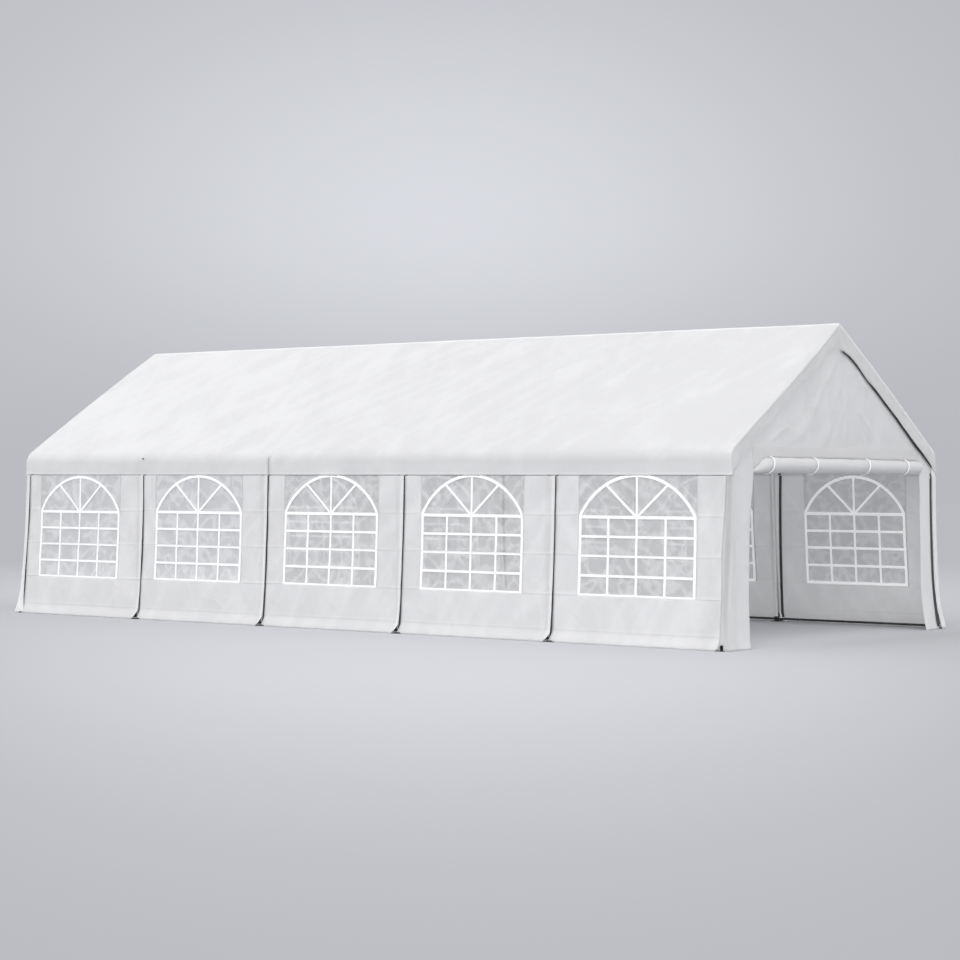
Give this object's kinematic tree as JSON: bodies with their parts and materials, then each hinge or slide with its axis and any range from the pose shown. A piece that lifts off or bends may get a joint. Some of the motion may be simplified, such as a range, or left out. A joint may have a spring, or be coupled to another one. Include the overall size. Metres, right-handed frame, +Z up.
{
  "type": "marquee tent",
  "caption": "Gabled party tent on a steel tube frame, with arched clear windows in its side walls and rolled-up doorways at both ends.",
  "frame": {"origin": "On the ground, under the middle of the tent.", "axes": "+X along the ridge towards the front doorway, +Y towards the far long side, +Z up."},
  "size_m": [10.4242, 4.43, 3.2164],
  "materials": {
    "cover_fabric": "white coated woven sheet, softly wrinkled",
    "wall_fabric": "white coated woven sheet with welded hems",
    "clear_film": "clear crinkled film",
    "white_steel": "white powder coat",
    "black_foot": "matt black",
    "tie_webbing": "white woven tape"
  },
  "bodies": {
    "root": {"roof_cover": "cover_fabric", "near_wall_1": "wall_fabric", "near_wall_2": "wall_fabric", "near_wall_3": "wall_fabric", "near_wall_4": "wall_fabric", "near_wall_5": "wall_fabric", "far_wall_1": "wall_fabric", "far_wall_2": "wall_fabric", "far_wall_3": "wall_fabric", "far_wall_4": "wall_fabric", "far_wall_5": "wall_fabric", "near_window_1": "clear_film", "near_window_2": "clear_film", "near_window_3": "clear_film", "near_window_4": "clear_film", "near_window_5": "clear_film", "far_window_1": "clear_film", "far_window_2": "clear_film", "far_window_3": "clear_film", "far_window_4": "clear_film", "far_window_5": "clear_film", "front_end_wall": "wall_fabric", "rear_end_wall": "wall_fabric", "front_door_roll": "wall_fabric", "front_door_tie_1": "tie_webbing", "front_door_tie_2": "tie_webbing", "front_door_tie_3": "tie_webbing", "front_door_tie_4": "tie_webbing", "rear_door_roll": "wall_fabric", "rear_door_tie_1": "tie_webbing", "rear_door_tie_2": "tie_webbing", "rear_door_tie_3": "tie_webbing", "rear_door_tie_4": "tie_webbing", "portal_frame_1": "white_steel", "portal_frame_2": "white_steel", "portal_frame_3": "white_steel", "portal_frame_4": "white_steel", "portal_frame_5": "white_steel", "portal_frame_6": "white_steel", "near_eave_rail": "white_steel", "far_eave_rail": "white_steel", "ridge_rail": "white_steel", "near_ground_rail": "black_foot", "far_ground_rail": "black_foot", "near_post_foot_1": "black_foot", "near_post_foot_2": "black_foot", "near_post_foot_3": "black_foot", "near_post_foot_4": "black_foot", "near_post_foot_5": "black_foot", "near_post_foot_6": "black_foot", "far_post_foot_1": "black_foot", "far_post_foot_2": "black_foot", "far_post_foot_3": "black_foot", "far_post_foot_4": "black_foot", "far_post_foot_5": "black_foot", "far_post_foot_6": "black_foot"}
  },
  "joints": []
}
